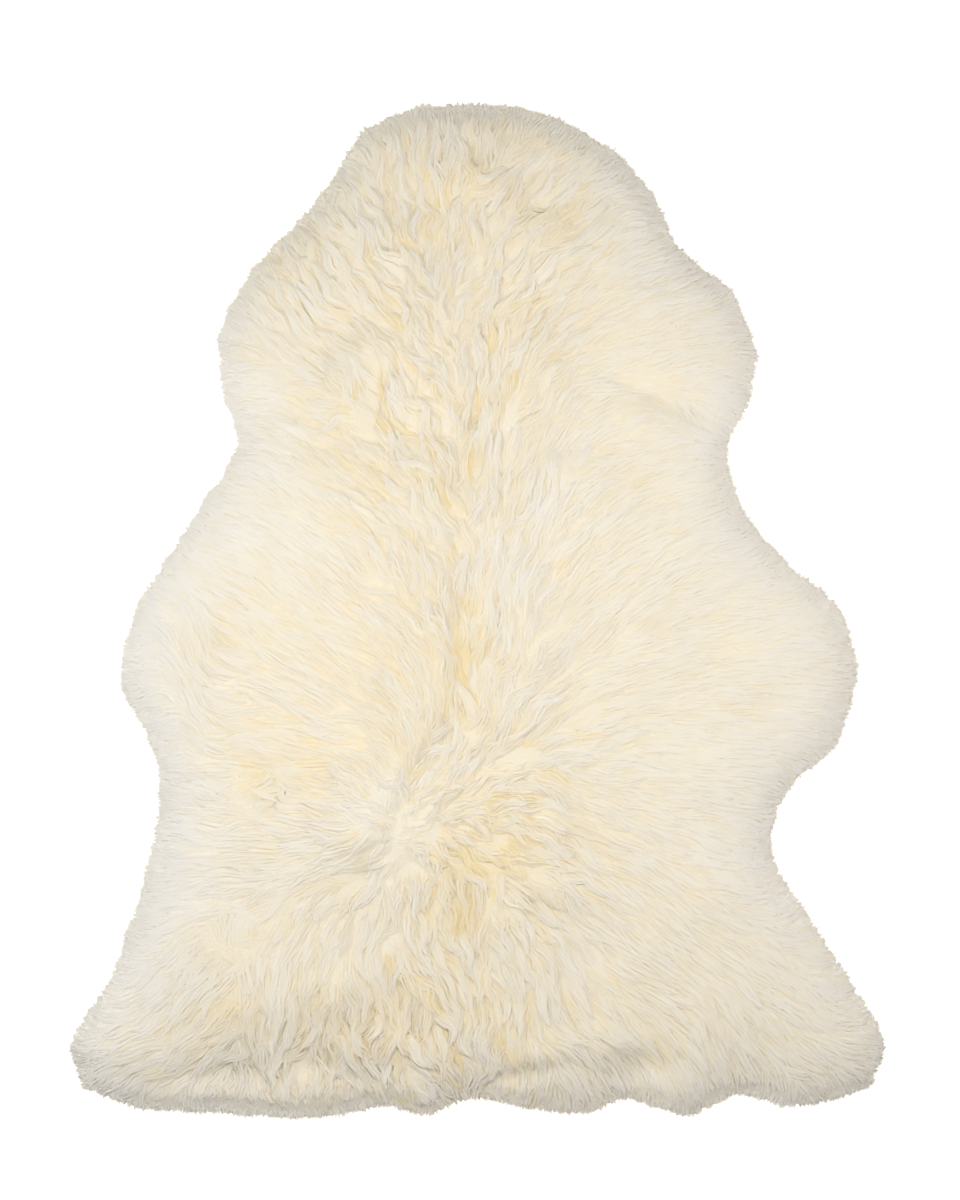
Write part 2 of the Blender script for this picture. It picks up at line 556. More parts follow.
def strand_mesh(name, kinds):
    """Joins strands of several kinds into one mesh of many closed strands."""
    base, corners, starts, begun = 0, [], [], 0
    for kind in kinds:
        strand = np.arange(kind.count)[:, None]
        corners.append((kind.local[None] + base + strand * kind.each).ravel())
        face_starts = np.concatenate(([0], np.cumsum(kind.sizes)[:-1]))
        starts.append((face_starts[None] + begun + strand * len(kind.local)).ravel())
        base += kind.count * kind.each
        begun += kind.count * len(kind.local)
    corners, starts = np.concatenate(corners), np.concatenate(starts)

    def joined(part, width):
        """One part of every kind, as rows of one float array."""
        rows = np.concatenate([getattr(kind, part).reshape(-1, width) for kind in kinds])
        return rows.astype(np.float32).ravel()

    mesh = bpy.data.meshes.new(name)
    mesh.vertices.add(base)
    mesh.vertices.foreach_set("co", joined("points", 3))
    mesh.loops.add(len(corners))
    mesh.loops.foreach_set("vertex_index", corners.astype(np.int32))
    mesh.polygons.add(len(starts))
    mesh.polygons.foreach_set("loop_start", starts.astype(np.int32))
    mesh.update(calc_edges=True)
    mesh.shade_smooth()

    # A strand's two side edges and its root's rim are sharp, so that its lower
    # faces keep a shading of their own.
    kind_of = np.concatenate([np.tile(kind.kind, kind.count) for kind in kinds])
    at_root = np.concatenate([np.tile(kind.at_root, kind.count) for kind in kinds])
    pairs = np.empty(len(mesh.edges) * 2, np.int32)
    mesh.edges.foreach_get("vertices", pairs)
    one, other = pairs.reshape(-1, 2).T
    a, b = kind_of[one], kind_of[other]
    sides = ((a == b) & (a < 2)) | ((np.maximum(a, b) == 3) & (np.minimum(a, b) < 2))
    sharp = mesh.attributes.new("sharp_edge", "BOOLEAN", "EDGE")
    sharp.data.foreach_set("value", sides | (at_root[one] & at_root[other]))
    normals = mesh.attributes.new("custom_normal", "FLOAT_VECTOR", "CORNER")
    normals.data.foreach_set("vector", joined("normals", 3))
    mesh.uv_layers.new(name=WOOL_MAP).uv.foreach_set("vector", joined("map", 2))
    return mesh


def combed_out(x, y, length, yaw, swing, phase, waves):
    """Lines from roots that step along the comb, each turned by its own yaw and by a
    wave that swings it to and fro."""
    m = pelt_maps()
    path = np.empty((len(x), PATH_STEPS + 1, 2))
    path[:, 0] = np.stack([x, y], axis=1)
    step = length / PATH_STEPS
    for k in range(PATH_STEPS):
        px, py = path[:, k].T
        cx, cy = m.read(m.comb_x, px, py), m.read(m.comb_y, px, py)
        size = np.maximum(np.hypot(cx, cy), 1e-6)
        reach = np.clip(size, LEAST_LYING, 1.0) * step / size
        turn = yaw + swing * np.sin(2 * math.pi * waves * k / PATH_STEPS + phase)
        way_x, way_y = turned(cx, cy, turn)
        path[:, k + 1, 0] = px + reach * way_x
        path[:, k + 1, 1] = py + reach * way_y
    return path


class Locks:
    """Middle lines of all the locks, and what each one is like."""

    def __init__(self, wool, rng):
        m = pelt_maps()
        x, y = self.roots(wool.lock_spacing, rng)
        more_x, more_y = self.roots(wool.lock_spacing * THIN_SPACING, rng)
        thin = self.thinly_covered(x, y, more_x, more_y, wool.lock_length)
        self.x, self.y = np.concatenate([x, more_x[thin]]), np.concatenate([y, more_y[thin]])
        self.count = len(self.x)
        self.ruffle = m.read(m.ruffle, self.x, self.y)
        self.parted = m.read(m.parted, self.x, self.y)
        self.length = wool.lock_length * rng.uniform(*LENGTHS, self.count)
        self.half_width = wool.lock_width / 2 * rng.uniform(*WIDTHS, self.count)
        self.lift = rng.normal(0.0, LOCK_LIFT, self.count) * (0.08 + self.ruffle)
        self.gather = np.clip(GATHERED[0] * self.ruffle, 0.0, GATHERED[1])
        yellower = np.clip(m.read(m.warmth, self.x, self.y) - USUAL_WARMTH, 0.0, 0.5)
        self.warmth = rng.exponential(1.0, self.count) - 1.0
        self.warmth *= ruffled(LOCK_YELLOWS, self.ruffle)
        self.warmth *= 1.0 + YELLOWER_LOCKS * yellower
        crossing = 0.16 * (0.25 + self.ruffle) + PARTED_CROSSING * self.parted
        yaw = rng.normal(0.0, 1.0, self.count) * crossing
        swing = ruffled(SWING, self.ruffle) * rng.uniform(*SWINGS, self.count)
        phase = rng.uniform(0.0, 2 * math.pi, self.count)
        phase = phase * 0.35 + 3.2 * value_noise(self.x, self.y, 0.030, WAVE_SEED)
        waves = rng.uniform(*WAVES, self.count)
        self.path = combed_out(self.x, self.y, self.length, yaw, swing, phase, waves)
        self.trim(rng)

    def roots(self, spacing, rng):
        """Places over the pelt in staggered rows, each shifted at random, inside the rim."""
        m = pelt_maps()
        ys = np.arange(m.ys[0], m.ys[-1], spacing * math.sqrt(0.75))
        xs = np.arange(m.xs[0], m.xs[-1], spacing)
        x, y = np.meshgrid(xs, ys)
        x = x + (np.arange(len(ys)) % 2)[:, None] * spacing / 2
        x = (x + rng.uniform(-ROOT_SHIFT, ROOT_SHIFT, x.shape) * spacing).ravel()
        y = (y + rng.uniform(-ROOT_SHIFT, ROOT_SHIFT, y.shape) * spacing).ravel()
        keep = m.read(m.inward, x, y) > HIDE_INSET * 0.8
        return x[keep], y[keep]

    def thinly_covered(self, x, y, more_x, more_y, length):
        """Which of the further roots have few of the first locks passing over the place
        where their own wool would come up, because the wool is combed apart there."""
        m = pelt_maps()
        lines = combed_out(x, y, length, 0.0, 0.0, 0.0, 1.0)[:, 1:].reshape(-1, 2)
        cells = np.floor((lines - m.low) / CELL).astype(int)
        rows, columns = m.height.shape
        passed = np.zeros((rows, columns))
        cell = np.clip(cells[:, 1], 0, rows - 1), np.clip(cells[:, 0], 0, columns - 1)
        np.add.at(passed, cell, 1.0)
        usual = PATH_STEPS * len(x) / np.count_nonzero(m.inward > HIDE_INSET)
        risen = combed_out(more_x, more_y, length, 0.0, 0.0, 0.0, 1.0)[:, 1]
        return m.read(blurred(passed, 2), *risen.T) < THIN_SHARE * usual

    def trim(self, rng):
        """Cuts each lock off where it would pass the wool's reach, and sooner where
        the locks are short and leave the skirt below them bare."""
        m = pelt_maps()
        past = rng.uniform(*TRIMMED, self.count)
        px, py = self.path[..., 0], self.path[..., 1]
        short = m.read(m.short, px, py) * rng.uniform(*SHORTENED, self.count)[:, None]
        inside = m.read(m.inward, px, py) > past[:, None] + short
        steps = np.where(inside.all(axis=1), PATH_STEPS, np.argmin(inside, axis=1) - 0.5)
        self.reach = np.clip(steps / PATH_STEPS, 0.2, 1.0)

    def at(self, lock, share):
        """The place on a lock's line and its direction there, at a share of its reach."""
        s = held(share * self.reach[lock]) * PATH_STEPS
        i = np.minimum(s.astype(int), PATH_STEPS - 1)
        f = (s - i)[..., None]
        here, ahead = self.path[lock, i], self.path[lock, i + 1]
        return here * (1 - f) + ahead * f, unit_vectors(ahead - here)


class StrandKind:
    """How the strands of one kind are cut: the shares of their length at which they
    have a ring or a tip, their width there in shares of their full width, their
    narrowest and widest full width, their thickness in shares of it, their width
    on the map of wool colours, and how far their sides lie down there."""

    def __init__(self, shares, taper, widths, crown, spread, drop):
        self.shares, self.taper = np.array(shares), np.array(taper)
        self.widths, self.crown, self.spread, self.drop = widths, crown, spread, drop


FEW, MANY = (0.0, 0.30, 0.72, 1.0), (0.0, 0.2, 0.4, 0.6, 0.8, 1.0)
SMOOTH = StrandKind(FEW, (0.7, 1.0, 0.85, 0.0), (0.0011, 0.0022), 0.25, 0.012, 0.2)
WAVY = StrandKind(MANY, (0.6, 1.0, 1.0, 0.9, 0.65, 0.0), (0.0009, 0.0019), 0.25, 0.012, 0.4)
SMOOTH_CORE = StrandKind(FEW, (0.8, 1.0, 0.8, 0.0), (0.0, 0.0), 0.10, 0.060, 0.35)
WAVY_CORE = StrandKind(MANY, (0.8, 1.0, 1.0, 0.9, 0.7, 0.0), (0.0, 0.0), 0.10, 0.060, 0.5)
SKIRT = StrandKind((0.0, 0.45, 0.86, 1.0), (0.8, 1.0, 0.9, 0.0), (0.0018, 0.0032),
                   0.25, 0.016, 0.1)
HAIR = StrandKind((0.0, 0.70, 1.0), (1.0, 0.9, 0.0), (0.0007, 0.0015), 0.3, 0.006, 0.1)
CLUMPS = (0.0016, 0.0050, 61), (0.0026, 0.0180, 62)    # the rim's: size, width and seed
SKIRT_LAYERS = (
    # kind, strands across and lengthwise, inset of their roots, how far past the reach
    # their tips are, share of the wool's height at which they lie
    (SKIRT, 340, 460, 0.020, -0.0008, 0.45),
    (SKIRT, 300, 420, 0.026, -0.0020, 0.92),
    (HAIR, 900, 1200, 0.012, 0.0003, 0.60),
    (HAIR, 1140, 1460, 0.019, 0.0002, 0.99),
)


def lay_on_fleece(locks, lock, kind, spot, start, end, loose, rng):
    """Middle lines of strands on their locks, and how yellow each one is. A loose share
    of nothing makes a core, which keeps to its lock's line a little under the top.

    A strand lies beside its lock's middle line by its place across times the
    lock's half width, which narrows towards the tip. It comes up steeply out of
    the deep fleece, by a power of what is left of its length, and then lies on
    the fleece's top, highest in the middle of its lock, its tip tucked in.
    """
    m = pelt_maps()
    count = len(lock)
    ruffle, parted = held(locks.ruffle[lock]), locks.parted[lock]
    depth = ruffled(DEPTH, ruffle) * (1.0 - 0.75 * parted)
    rise = ruffled(RISE, ruffle)
    stray = rng.normal(0.0, STRAND_STRAY, (count, 2)) * ruffled(STRAY, ruffle)[:, None] * loose
    bow = rng.normal(0.0, STRAND_BOW, count) * loose
    fly = rng.normal(0.0, STRAND_FLY, count) * loose
    under = (0.0018 + 0.0030 * parted) * (1.0 - loose)
    place = np.empty((count, len(kind.shares), 3))
    above = np.empty((count, len(kind.shares)))
    for k, share in enumerate(kind.shares):
        here = held(start + (end - start) * share)
        middle, ahead = locks.at(lock, here)
        sideways = np.stack([-ahead[:, 1], ahead[:, 0]], axis=1)
        beside = spot * locks.half_width[lock] * (1.0 - locks.gather[lock] * here**1.5)
        beside = beside + bow * math.sin(math.pi * share)
        flat = middle + sideways * beside[:, None] + stray * share**2
        top = m.read(m.height, *flat.T)
        room = np.clip((top - 0.003) / 0.028, 0.12, 1.0)
        tucked = 0.006 * held(1.0 - m.read(m.inward, *flat.T) / 0.030)
        sunk = -depth * (1.0 - here) ** rise - 0.0005 * share**4 - tucked * (1.0 - loose)
        ridge = -ruffled(RIDGE, ruffle) * spot**2 * (1.0 - 0.6 * share)
        above[:, k] = (sunk + ridge + locks.lift[lock] + fly - under) * room
        place[:, k, :2] = flat
        place[:, k, 2] = np.maximum(top + above[:, k], LOWEST)
    middle = len(kind.shares) // 2
    warmth = m.read(m.warmth, *place[:, middle, :2].T) + locks.warmth[lock]
    warmth = warmth - np.minimum(above[:, middle], 0.0006) * WARMER_BELOW
    differing = rng.normal(0.0, 1.0, count) * ruffled(STRAND_YELLOWS, ruffle) * loose
    return place, warmth + differing


def lock_strands(locks, chosen, kind, each, rng):
    """The strands of the chosen locks: side by side at the root, gathered at the tip."""
    lock = np.repeat(chosen, each)
    count = len(lock)
    spot = np.tile(np.linspace(-1.0, 1.0, each), len(chosen)) + rng.uniform(-0.3, 0.3, count)
    start = rng.uniform(*STARTS, count)
    end = rng.uniform(*ENDS, count) - 0.08 * np.abs(spot)
    place, warmth = lay_on_fleece(locks, lock, kind, spot, start, end, 1.0, rng)
    ruffle = held(locks.ruffle[lock])
    wide = rng.uniform(*kind.widths, count)[:, None] * kind.taper
    lean = spot * ruffled(LEAN, ruffle) + rng.normal(0.0, 0.42, count) * ruffle
    return Strands(kind, place, wide, warmth, lean, ruffled(STRAND_ROUND, ruffle))


def lock_cores(locks, chosen, kind, rng):
    """The body of each lock, one broad strand that its fine strands lie on."""
    none = np.zeros(len(chosen))
    place, warmth = lay_on_fleece(locks, chosen, kind, none, none, none + CORE_REACH, 0.0, rng)
    narrowing = 1.0 - locks.gather[chosen, None] * (CORE_REACH * kind.shares) ** 1.5
    wide = CORE_WIDTH * locks.half_width[chosen, None] * narrowing * kind.taper
    roundness = ruffled(CORE_ROUND, held(locks.ruffle[chosen]))
    return Strands(kind, place, wide, warmth, none, roundness)


def raggedness(loop):
    """How far the wool goes past its smooth reach, in small clumps, in broad ones and
    in the few that stand out."""
    x, y = loop.T
    small, broad = (amount * value_noise(x, y, size, seed) for amount, size, seed in CLUMPS)
    return small + broad + patches(RIM_CLUMPS, x, y + MIDDLE)


def rim_strands(kind, loop, inset, past, high, rng):
    """Strands out of the rim's wall all round, which droop to the floor.

    Each runs outwards with a little sway, at a share of the wool's height there,
    and its tip ends a few millimetres past the wool's reach or short of it.
    """
    m = pelt_maps()
    count = len(loop)
    out = outward_directions(loop)
    base = loop - out * inset + rng.normal(0.0, 0.0010, loop.shape)
    sway = 0.22 * value_noise(*base.T, 0.012, SWAY_SEED) + rng.normal(0.0, 0.09, count)
    way = np.stack(turned(*out.T, sway), axis=1)
    length = inset + past + raggedness(loop) + rng.normal(0.0, 0.0010, count)
    place = np.empty((count, len(kind.shares), 3))
    lines = way[:, None] * length[:, None, None] * kind.shares[None, :, None]
    place[..., :2] = base[:, None] + lines
    top = m.read(m.height, place[..., 0], place[..., 1])
    droop = 1.0 - 0.5 * kind.shares[None] ** 3 - 0.35 * (1.0 - kind.shares[None]) ** 4
    share = high * rng.uniform(0.92, 1.04, count)[:, None] * droop
    place[..., 2] = np.maximum(top * share, LOWEST)
    warmth = m.read(m.warmth, *place[:, 1, :2].T) + rng.normal(0.0, 0.03, count)
    wide = rng.uniform(*kind.widths, count)[:, None] * kind.taper
    lean = np.zeros(count)
    return Strands(kind, place, wide, warmth, lean, lean + 0.2)


# ---- Finishes ----

def new_material(name):
    """An empty node material: its tree and its Principled shader."""
    material = bpy.data.materials.new(name)
    material.use_nodes = True
    return material, material.node_tree, material.node_tree.nodes["Principled BSDF"]


def set_inputs(tree, made, inputs):
    """Gives each named input of a node its value, or links it from a socket or from
    another node's first output."""
    for name, value in inputs.items():
        if isinstance(value, bpy.types.Node):
            value = value.outputs[0]
        if isinstance(value, bpy.types.NodeSocket):
            tree.links.new(value, made.inputs[name])
        else:
            made.inputs[name].default_value = value


def node(tree, kind, inputs, **settings):
    """Adds a node, with its settings and its inputs."""
    made = tree.nodes.new(kind)
    for name, value in settings.items():
        setattr(made, name, value)
    set_inputs(tree, made, inputs)
    return made


def noise(tree, place, scale, detail, **settings):
    """Noise at a place, from 0 to 1."""
    inputs = {"Vector": place, "Scale": scale, "Detail": detail}
    return node(tree, "ShaderNodeTexNoise", inputs, **settings)


def drawn_noise(tree, place, across, along):
    """Noise on a map, drawn out from root to tip."""
    stretch = {"Vector": place, "Scale": (across, along, 1.0)}
    return noise(tree, node(tree, "ShaderNodeMapping", stretch), 1.0, 2.0,
                 noise_dimensions="2D")


def added(tree, one, other, **settings):
    """Two numbers, added."""
    return node(tree, "ShaderNodeMath", {0: one, 1: other}, operation="ADD", **settings)


def remapped(tree, value, low, high, to_low, to_high, **settings):
    """A value from low to high, moved into the span from to_low to to_high."""
    return node(tree, "ShaderNodeMapRange", {
        "Value": value, "From Min": low, "From Max": high, "To Min": to_low, "To Max": to_high,
    }, **settings)


def bump(tree, height, strength, distance, **inputs):
    """The normals of a relief, over those of another if it is given as Normal."""
    inputs.update(Height=height, Strength=strength, Distance=distance)
    return node(tree, "ShaderNodeBump", inputs)


def wool_ramp(tree, wool, yellowness):
    """The wool's colours, from grey-white at 0 to deep yellow at 1."""
    ramp = node(tree, "ShaderNodeValToRGB", {"Fac": yellowness})
    ramp.color_ramp.interpolation = "B_SPLINE"
    stops = ((0.0, wool.rim_color), (0.17, wool.tip_color), (0.46, wool.staple_color),
             (0.76, wool.yellow_color), (1.0, wool.deep_color))
    elements = ramp.color_ramp.elements
    while len(elements) < len(stops):
        elements.new(0.5)
    for element, (position, color) in zip(elements, stops):
        element.position = position
        element.color = (*color, 1.0)
    return ramp


def wool_material(wool):
    """Wool on the strands' own map: across it the wool goes from grey-white to deep
    yellow, up it from the warm root to the pale tip, and fine noise, drawn out
    along the strand, makes its single fibres."""
    material, tree, shader = new_material("combed_wool")
    place = node(tree, "ShaderNodeUVMap", {}, uv_map=WOOL_MAP)
    split = node(tree, "ShaderNodeSeparateXYZ", {0: place})
    wisps = drawn_noise(tree, place, 110.0, 1.8)
    fibres = drawn_noise(tree, place, 320.0, 3.5)
    most = node(tree, "ShaderNodeMath", {0: wisps, 1: 0.75}, operation="MULTIPLY")
    streaks = node(tree, "ShaderNodeMath", {0: fibres, 1: 0.25, 2: most},
                   operation="MULTIPLY_ADD")
    root_shift = remapped(tree, split.outputs["Y"], 0.10, 0.95, 0.25, -0.06,
                          interpolation_type="SMOOTHSTEP")
    fibre_shift = remapped(tree, streaks, 0.35, 0.65, 0.14, -0.14)
    yellowness = added(tree, added(tree, split.outputs["X"], root_shift), fibre_shift,
                       use_clamp=True)
    set_inputs(tree, shader, {
        "Base Color": wool_ramp(tree, wool, yellowness),
        "Normal": bump(tree, fibres, 0.4, 0.00015, Normal=bump(tree, wisps, 0.5, 0.0006)),
        "Roughness": 0.72, "Specular IOR Level": 0.15,
        "Sheen Weight": 0.12, "Sheen Roughness": 0.4, "Sheen Tint": (1.0, 0.97, 0.90, 1.0),
    })
    return material


def deep_fleece_material(wool):
    """The matted wool near the skin: as yellow as its map says, mottled by noise."""
    material, tree, shader = new_material("deep_fleece")
    place = node(tree, "ShaderNodeTexCoord", {}).outputs["Object"]
    mottle = noise(tree, place, 260.0, 5.0)
    shift = remapped(tree, mottle, 0.3, 0.7, 0.14, -0.14)
    yellow = node(tree, "ShaderNodeUVMap", {}, uv_map=WOOL_MAP)
    split = node(tree, "ShaderNodeSeparateXYZ", {0: yellow})
    yellowness = added(tree, split.outputs["X"], shift, use_clamp=True)
    set_inputs(tree, shader, {
        "Base Color": wool_ramp(tree, wool, yellowness),
        "Normal": bump(tree, mottle, 0.5, 0.002),
        "Roughness": 0.9, "Specular IOR Level": 0.2,
    })
    return material


def suede_material(hide):
    """The flesh side: buff suede with a fine nap and broad cloudy shades."""
    material, tree, shader = new_material("suede_hide")
    place = node(tree, "ShaderNodeTexCoord", {}).outputs["Object"]
    clouds = node(tree, "ShaderNodeValToRGB", {"Fac": noise(tree, place, 14.0, 5.0)})
    low, high = clouds.color_ramp.elements
    low.position, high.position = 0.3, 0.7
    low.color, high.color = (*hide.shade_color, 1.0), (*hide.color, 1.0)
    set_inputs(tree, shader, {
        "Base Color": clouds,
        "Normal": bump(tree, noise(tree, place, 900.0, 2.0), 0.35, 0.0005),
        "Roughness": 0.85, "Sheen Weight": 0.2,
    })
    return material


# ---- Pieces ----

HIDE_STEPS = 28, 36            # cells of the hide across and lengthwise
BED_STEPS = 96, 120
BED_INSET = 0.003
BED_GAP = 0.0001               # between the hide and the fleece on it
BED_WARMER = 0.16
LOCK_SEED, SKIRT_SEED = 7, 19

FLOOR_HALF, FLOOR_DROP = 8.0, 0.0006
BEIGE = (1.0, 0.93, 0.88)
OVERHEAD_AT, OVERHEAD_SIZE = (-0.07, 0.07, 1.5), 0.48
SOFTBOX_SIZE = 0.8
SOFTBOXES = {"left": ((-1.0, 0.0, 1.0), (1.0, 1.0, 1.0)), "right": ((1.0, 0.0, 1.0), BEIGE),
             "tail": ((0.0, -1.2, 0.9), BEIGE), "neck": ((0.0, 1.2, 0.9), BEIGE)}
PIXEL = 0.00095                # size of the photograph's pixel on the rug
PIXEL_PLANE = 0.015            # height over the floor at which it has that size
IMAGE_HEIGHT = 1200
AIM_RIGHT, AIM_UP = 3.5, 10.5  # pixels from the pelt's middle to the photograph's
CAMERA_HEIGHT = 5.0
SENSOR_WIDTH = 36.0


def linked(name, data):
    """A new object for some data, in the scene at the origin."""
    made = bpy.data.objects.new(name, data)
    bpy.context.scene.collection.objects.link(made)
    return made


def add_piece(name, mesh, material):
    """Links a mesh as a piece, riding on the pelt's body."""
    piece = linked(name, mesh)
    mesh.materials.append(material)
    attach(piece, "root")
    return piece


def closed_sheet(name, plan, top, bottom):
    """A closed solid: a grid at its upper heights, the same grid below, and a wall."""
    rows, cols = plan.shape[:2]
    points = np.concatenate([np.concatenate([plan, height[..., None]], axis=2).reshape(-1, 3)
                             for height in (top, bottom)])
    index = np.arange(rows * cols).reshape(rows, cols)
    upper = np.stack([index[:-1, :-1], index[:-1, 1:], index[1:, 1:], index[1:, :-1]],
                     axis=-1).reshape(-1, 4)
    lower = upper[:, ::-1] + rows * cols
    ring = np.concatenate([index[0, :-1], index[:-1, -1], index[-1, :0:-1], index[:0:-1, 0]])
    after = np.roll(ring, -1)
    wall = np.stack([ring, ring + rows * cols, after + rows * cols, after], axis=1)
    mesh = bpy.data.meshes.new(name)
    mesh.from_pydata(points.tolist(), [], np.concatenate([upper, lower, wall]).tolist())
    mesh.polygons.foreach_set("use_smooth", np.arange(len(mesh.polygons)) < len(upper) * 2)
    return mesh


def inset_grid(inset, across, lengthwise):
    """The plan of a layer of the pelt whose edge lies in from the wool's reach."""
    reach = rim_loop(across, lengthwise)
    inset = inset - raggedness(reach)[:, None]
    return spread_grid(reach - outward_directions(reach) * inset, across, lengthwise)


LengthProperty = functools.partial(FloatProperty, precision=4, subtype="DISTANCE")
PowerProperty = functools.partial(FloatProperty, min=0.0, max=100.0, subtype="POWER")
ColorProperty = functools.partial(FloatVectorProperty, size=3, min=0.0, max=1.0,
                                  subtype="COLOR")


class WoolSettings(PropertyGroup):
    lock_spacing: LengthProperty(
        name="Lock spacing", description="Distance between the roots of neighbouring locks",
        default=0.0121, min=0.006, max=0.020)
    lock_length: LengthProperty(
        name="Lock length", description="Length of a lock from root to tip",
        default=0.050, min=0.020, max=0.080)
    lock_width: LengthProperty(
        name="Lock width", description="Width of a lock at its root",
        default=0.0108, min=0.004, max=0.020)
    strands: IntProperty(
        name="Strands", description="Strands of fibre on each lock", default=7, min=3, max=12)
    rim_color: ColorProperty(
        name="Rim", description="Wool at the rim", default=(0.91, 0.885, 0.85))
    tip_color: ColorProperty(
        name="Tips", description="Pale tips of the locks", default=(0.935, 0.905, 0.815))
    staple_color: ColorProperty(
        name="Staple", description="Cream of the locks' middle",
        default=(0.935, 0.875, 0.735))
    yellow_color: ColorProperty(
        name="Yellow", description="Yellow near the roots", default=(0.945, 0.855, 0.64))
    deep_color: ColorProperty(
        name="Deep yellow", description="Deep yellow in the partings",
        default=(0.94, 0.80, 0.47))


class HideSettings(PropertyGroup):
    thickness: LengthProperty(
        name="Thickness", description="Thickness of the dressed hide",
        default=0.002, min=0.001, max=0.004)
    color: ColorProperty(
        name="Suede", description="Colour of the flesh side", default=(0.78, 0.68, 0.53))
    shade_color: ColorProperty(
        name="Suede shade", description="Darker clouds on the flesh side",
        default=(0.70, 0.59, 0.44))


class StageSettings(PropertyGroup):
    floor_color: ColorProperty(
        name="Floor", description="Colour of the plain floor", default=(0.95, 0.95, 0.95))
    floor_glow: FloatProperty(
        name="Floor glow", default=0.62, min=0.0, max=1.0,
        description="Light that comes up through the floor, as on a light table")
    world_light: FloatProperty(
        name="White room", description="Strength of the even light from all round",
        default=0.18, min=0.0, max=2.0)
    overhead_light: PowerProperty(
        name="Overhead", description="Power of the round light above", default=12.0)
    left_light: PowerProperty(
        name="Left softbox", description="Power of the left softbox", default=4.3)
    right_light: PowerProperty(
        name="Right softbox", description="Power of the right softbox", default=3.5)
    tail_light: PowerProperty(
        name="Tail softbox", description="Power of the softbox at the tail's end",
        default=0.35)
    neck_light: PowerProperty(
        name="Neck softbox", description="Power of the softbox at the neck's end",
        default=0.2)


class SHEEPSKIN_OT_hide(Operator):
    """Cuts the dressed hide as a thin closed sheet, flat on the floor"""
    bl_idname = "sheepskin.lay_hide"
    bl_label = "Lay the Hide"

    def execute(self, context):
        settings = context.scene.sheepskin_hide
        plan = inset_grid(HIDE_INSET, *HIDE_STEPS)
        flat = np.zeros(plan.shape[:2])
        mesh = closed_sheet("hide", plan, flat + settings.thickness, flat)
        add_piece("hide", mesh, suede_material(settings))
        return {"FINISHED"}


class SHEEPSKIN_OT_fleece(Operator):
    """Fills the depth of the pile with the matted wool that the locks stand in"""
    bl_idname = "sheepskin.fill_fleece"
    bl_label = "Fill the Fleece"

    def execute(self, context):
        """The bed's top is the wool's top less the cover that the locks give it, which
        is deeper where they are ruffled, thinner where they part, and thin at the rim."""
        m = pelt_maps()
        plan = inset_grid(BED_INSET, *BED_STEPS)
        x, y = plan[..., 0], plan[..., 1]
        inward = m.read(m.inward, x, y)
        cover = ruffled(COVER, held(m.read(m.ruffle, x, y)))
        cover = cover * (1.0 - 0.6 * m.read(m.parted, x, y))
        cover = cover * (0.35 + 0.65 * held(inward / 0.030))
        brim = 0.70 + 0.30 * held(inward / 0.012)
        top = np.maximum(m.read(m.height, x, y) * brim - cover, 0.003)
        bottom = np.full(top.shape, context.scene.sheepskin_hide.thickness + BED_GAP)
        mesh = closed_sheet("fleece_bed", plan, top, bottom)
        warmth = held(m.read(m.warmth, x, y) + BED_WARMER)
        corner = np.empty(len(mesh.loops), np.int32)
        mesh.loops.foreach_get("vertex_index", corner)
        u = np.tile(warmth.ravel(), 2)[corner]
        layer = mesh.uv_layers.new(name=WOOL_MAP)
        layer.uv.foreach_set("vector", np.stack([u, np.full(u.shape, 0.5)], axis=1).ravel())
        material = deep_fleece_material(context.scene.sheepskin_wool)
        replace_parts(add_piece("fleece_bed", mesh, material), "sheepskin")
        return {"FINISHED"}


class SHEEPSKIN_OT_locks(Operator):
    """Combs the locks of wool over the fleece, in bands from the tail to the neck"""
    bl_idname = "sheepskin.comb_locks"
    bl_label = "Comb the Locks"

    def execute(self, context):
        wool = context.scene.sheepskin_wool
        rng = np.random.default_rng(LOCK_SEED)
        locks = Locks(wool, rng)
        material = wool_material(wool)
        bands = np.array_split(np.argsort(locks.y, kind="stable"), len(WOOL_BANDS))
        for name, band in zip(WOOL_BANDS, bands):
            wavy = locks.ruffle[band] > WAVY_RUFFLE
            calm, wavy = band[~wavy], band[wavy]
            kinds = [lock_cores(locks, calm, SMOOTH_CORE, rng),
                     lock_cores(locks, wavy, WAVY_CORE, rng),
                     lock_strands(locks, calm, SMOOTH, wool.strands, rng),
                     lock_strands(locks, wavy, WAVY, wool.strands, rng)]
            add_piece(name, strand_mesh(name, kinds), material)
        return {"FINISHED"}


class SHEEPSKIN_OT_skirt(Operator):
    """Hangs the short wool out of the rim, down to the floor"""
    bl_idname = "sheepskin.hang_skirt"
    bl_label = "Hang the Skirt"

    def execute(self, context):
        rng = np.random.default_rng(SKIRT_SEED)
        kinds = [rim_strands(kind, rim_loop(across, lengthwise), inset, past, high, rng)
                 for kind, across, lengthwise, inset, past, high in SKIRT_LAYERS]
        mesh = strand_mesh("wool_skirt", kinds)
        add_piece("wool_skirt", mesh, bpy.data.materials["combed_wool"])
        return {"FINISHED"}


def add_light(name, location, energy, size, **settings):
    """Adds an area light that faces the middle of the pelt."""
    light = bpy.data.lights.new(name, "AREA")
    light.energy, light.size = energy, size
    for setting, value in settings.items():
        setattr(light, setting, value)
    lamp = linked(name, light)
    lamp.location = location
    lamp.rotation_euler = (-lamp.location).to_track_quat("-Z", "Y").to_euler()


